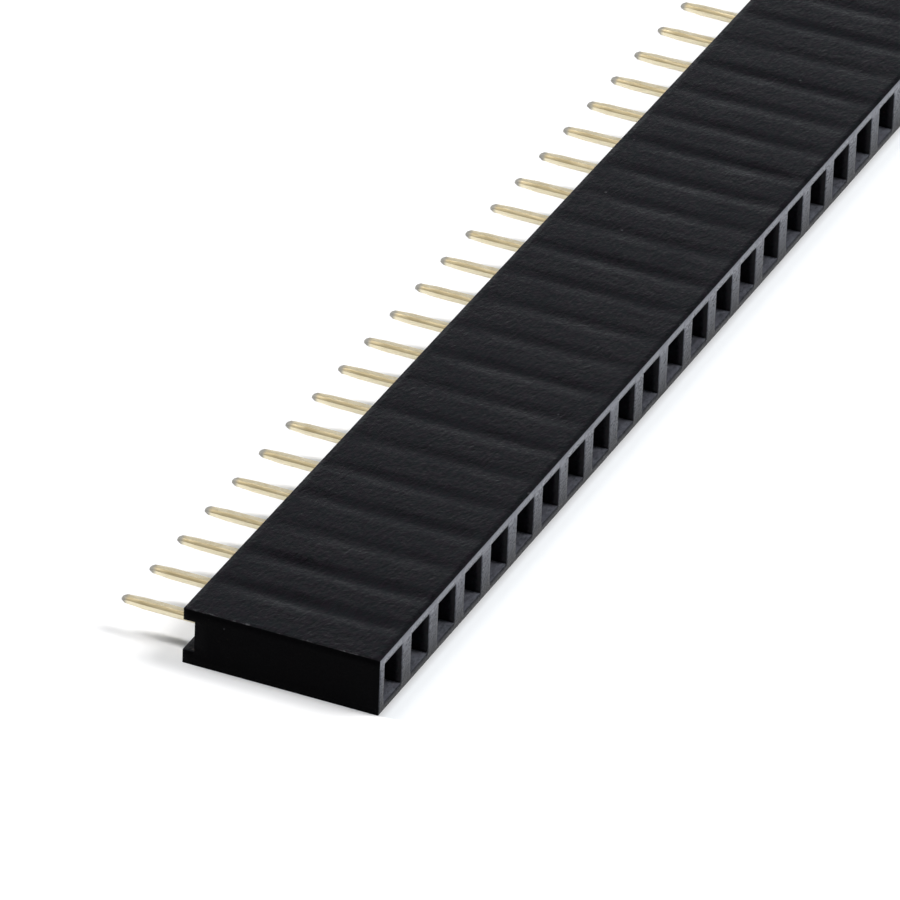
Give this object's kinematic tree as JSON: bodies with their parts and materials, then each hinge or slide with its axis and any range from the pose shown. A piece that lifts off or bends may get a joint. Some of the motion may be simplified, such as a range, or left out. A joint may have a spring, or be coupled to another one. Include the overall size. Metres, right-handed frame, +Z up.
{
  "type": "female pin header strip",
  "caption": "Straight single-row female pin header: a slim black housing with open sockets on one long edge and gold solder tails on the other.",
  "frame": {"origin": "middle of the lower broad face, which the strip lies on", "axes": "+X along the row, +Y the way the solder tails point (the sockets open toward -Y), +Z up through the thickness"},
  "size_m": [0.1016, 0.0118, 0.0025],
  "materials": {
    "housing_plastic": "fine matt moulding grain",
    "gold_plating": "gold-plated copper alloy, satin, with grey bare tips"
  },
  "bodies": {
    "root": {"housing": "housing_plastic", "contact_01": "gold_plating", "contact_02": "gold_plating", "contact_03": "gold_plating", "contact_04": "gold_plating", "contact_05": "gold_plating", "contact_06": "gold_plating", "contact_07": "gold_plating", "contact_08": "gold_plating", "contact_09": "gold_plating", "contact_10": "gold_plating", "contact_11": "gold_plating", "contact_12": "gold_plating", "contact_13": "gold_plating", "contact_14": "gold_plating", "contact_15": "gold_plating", "contact_16": "gold_plating", "contact_17": "gold_plating", "contact_18": "gold_plating", "contact_19": "gold_plating", "contact_20": "gold_plating", "contact_21": "gold_plating", "contact_22": "gold_plating", "contact_23": "gold_plating", "contact_24": "gold_plating", "contact_25": "gold_plating", "contact_26": "gold_plating", "contact_27": "gold_plating", "contact_28": "gold_plating", "contact_29": "gold_plating", "contact_30": "gold_plating", "contact_31": "gold_plating", "contact_32": "gold_plating", "contact_33": "gold_plating", "contact_34": "gold_plating", "contact_35": "gold_plating", "contact_36": "gold_plating", "contact_37": "gold_plating", "contact_38": "gold_plating", "contact_39": "gold_plating", "contact_40": "gold_plating"}
  },
  "joints": []
}
